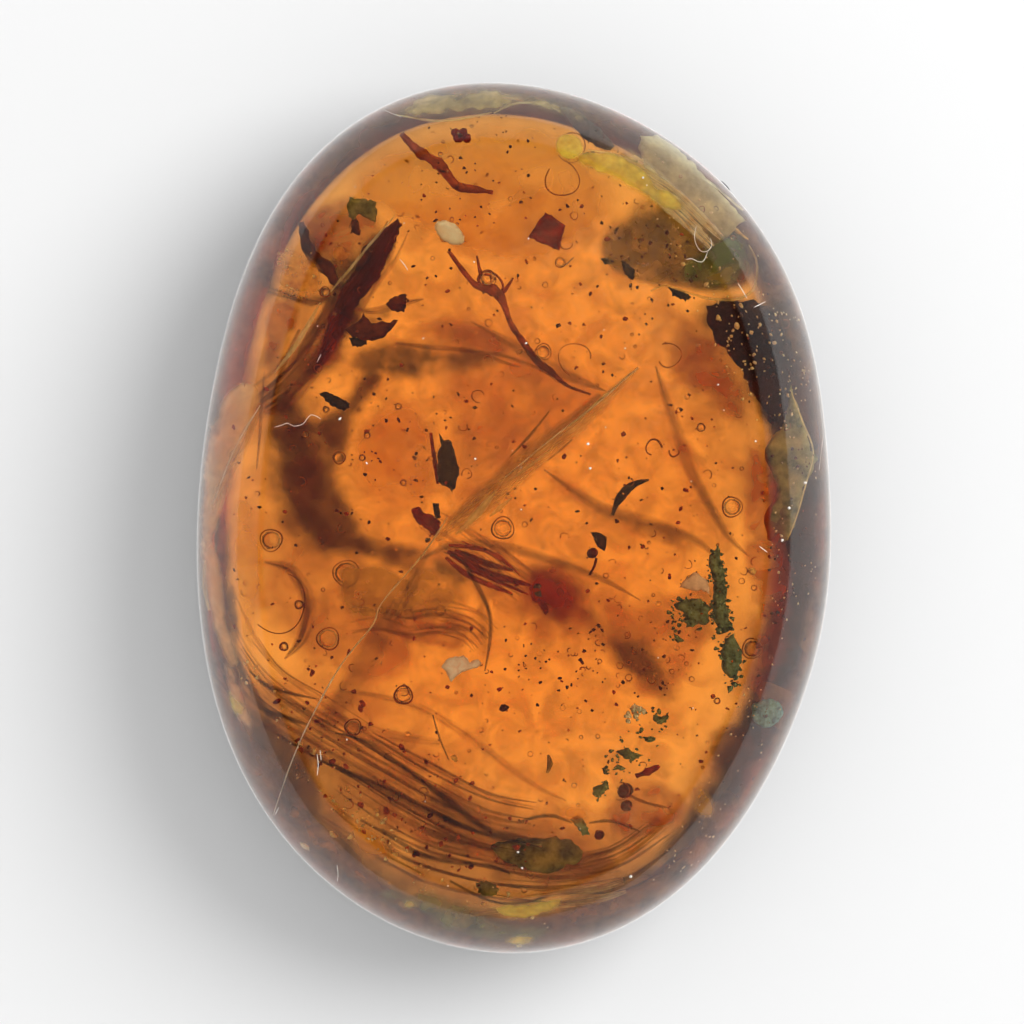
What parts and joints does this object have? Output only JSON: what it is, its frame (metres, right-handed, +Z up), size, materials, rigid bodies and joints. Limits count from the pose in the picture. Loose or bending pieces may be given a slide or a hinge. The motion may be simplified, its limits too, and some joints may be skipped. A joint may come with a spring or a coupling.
{
  "type": "amber with inclusions",
  "caption": "Polished egg-shaped amber pebble with twigs, bark, charcoal, leaf, moss and seed scraps sealed inside, lying on its flattened underside.",
  "frame": {"origin": "on the table under the centre of the pebble's bounding box", "axes": "+Z up through the thickness, +Y along the pebble's length, towards the top of the picture"},
  "size_m": [0.0292, 0.04, 0.0144],
  "materials": {
    "amber": "polished clear orange amber",
    "red_bark": "red-brown resin-soaked bark",
    "brown_twig": "dull brown twig",
    "dark_bark": "dark matt bark",
    "slate_bark": "grey matt bark",
    "straw_bark": "straw-coloured papery bark",
    "gold_sliver": "bright golden bark sliver",
    "wood_fibre": "red wood fibres",
    "charcoal": "matt black charcoal",
    "glossy_charcoal": "glossy black charcoal",
    "brown_leaf": "torn dark brown leaf",
    "black_leaf": "charred leaf base",
    "olive_leaf": "dull olive leaf",
    "green_leaf": "pale grey-green leaf",
    "moss": "grey-green moss",
    "pale_pith": "cream pith",
    "peach_pith": "peach pith",
    "shell_chip": "pinkish white chip",
    "mineral": "whitish mineral grains",
    "seed_coat": "dark red-brown seed coat"
  },
  "bodies": {
    "root": {"amber_upper": "amber", "amber_lower": "amber", "twig_long": "red_bark", "bark_crumb_top": "red_bark", "bark_flake_red": "red_bark", "bark_wedge_rust": "red_bark", "bark_streak_red": "red_bark", "bark_needle": "red_bark", "thorn": "red_bark", "twig_short": "brown_twig", "bark_sheet_dark": "dark_bark", "bark_wedge": "dark_bark", "bark_scrap_slate": "slate_bark", "bark_sheet_straw": "straw_bark", "bark_sliver_gold": "gold_sliver", "wood_fibre_top": "wood_fibre", "wood_fibre_upper": "wood_fibre", "wood_fibre_middle": "wood_fibre", "wood_fibre_lower": "wood_fibre", "charcoal_splinter_large": "charcoal", "charcoal_splinter_small": "charcoal", "charcoal_chip_small": "charcoal", "charcoal_crumb_upper": "charcoal", "charcoal_crumb_left": "charcoal", "charcoal_crumb_right": "charcoal", "charcoal_chip_glossy": "glossy_charcoal", "leaf_scrap_long": "brown_leaf", "leaf_scrap_side": "brown_leaf", "leaf_scrap_torn": "brown_leaf", "leaf_wedge_dark": "brown_leaf", "leaf_flake_brown": "brown_leaf", "leaf_scrap_base": "black_leaf", "leaf_patch_olive": "olive_leaf", "leaf_scrap_bottom": "olive_leaf", "leaf_crumb_bottom": "olive_leaf", "leaf_scrap_green": "green_leaf", "leaf_patch_grey": "green_leaf", "leaf_sliver_green": "green_leaf", "moss_strand_upper": "moss", "moss_strand_lower": "moss", "moss_tail": "moss", "moss_patch": "moss", "moss_crumb_patch": "moss", "moss_crumb_1": "moss", "moss_crumb_2": "moss", "moss_crumb_3": "moss", "moss_crumb_4": "moss", "moss_crumb_5": "moss", "moss_crumb_6": "moss", "pith_flake_cream": "pale_pith", "pith_flake_peach": "peach_pith", "shell_chip_pale": "shell_chip", "mineral_grains": "mineral", "seed_stalked": "seed_coat", "seed_stalk": "seed_coat", "seed_left": "seed_coat", "seed_right": "seed_coat", "seed_bottom": "seed_coat"}
  },
  "joints": []
}
